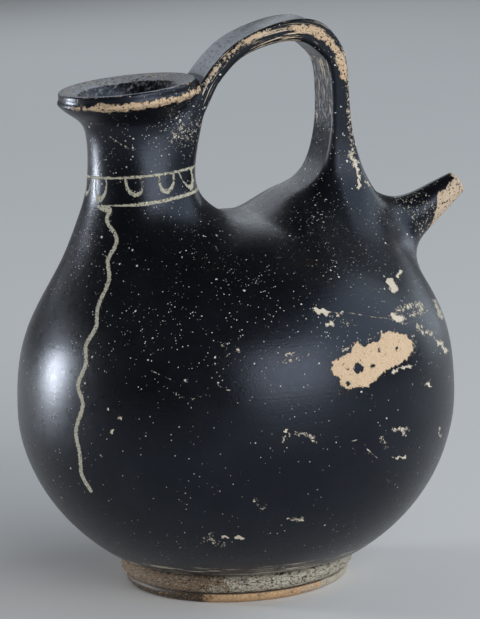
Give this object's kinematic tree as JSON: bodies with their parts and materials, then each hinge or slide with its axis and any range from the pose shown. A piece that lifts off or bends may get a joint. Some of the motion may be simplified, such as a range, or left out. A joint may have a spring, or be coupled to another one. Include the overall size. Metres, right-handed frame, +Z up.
{
  "type": "askos",
  "caption": "Globular black-slipped clay pouring vessel with an off-centre flared neck, arched strap handle, small drip spout and ring foot.",
  "frame": {"origin": "middle of the whole part's footprint, on the table plane under the foot", "axes": "+Z is up; +X runs from the neck to the spout; the vessel is the same on both sides of the X-Z plane"},
  "size_m": [0.1286, 0.12, 0.1535],
  "materials": {
    "black_slip": "satin black gloss slip over fired clay",
    "bare_clay": "matt tan fired clay, worn bare of its slip"
  },
  "bodies": {
    "root": {"foot_ring": "bare_clay", "body": "black_slip", "neck": "black_slip", "neck_lute": "black_slip", "handle": "black_slip", "handle_front_lute": "black_slip", "handle_rear_lute": "black_slip", "spout": "bare_clay", "spout_lute": "black_slip"}
  },
  "joints": []
}
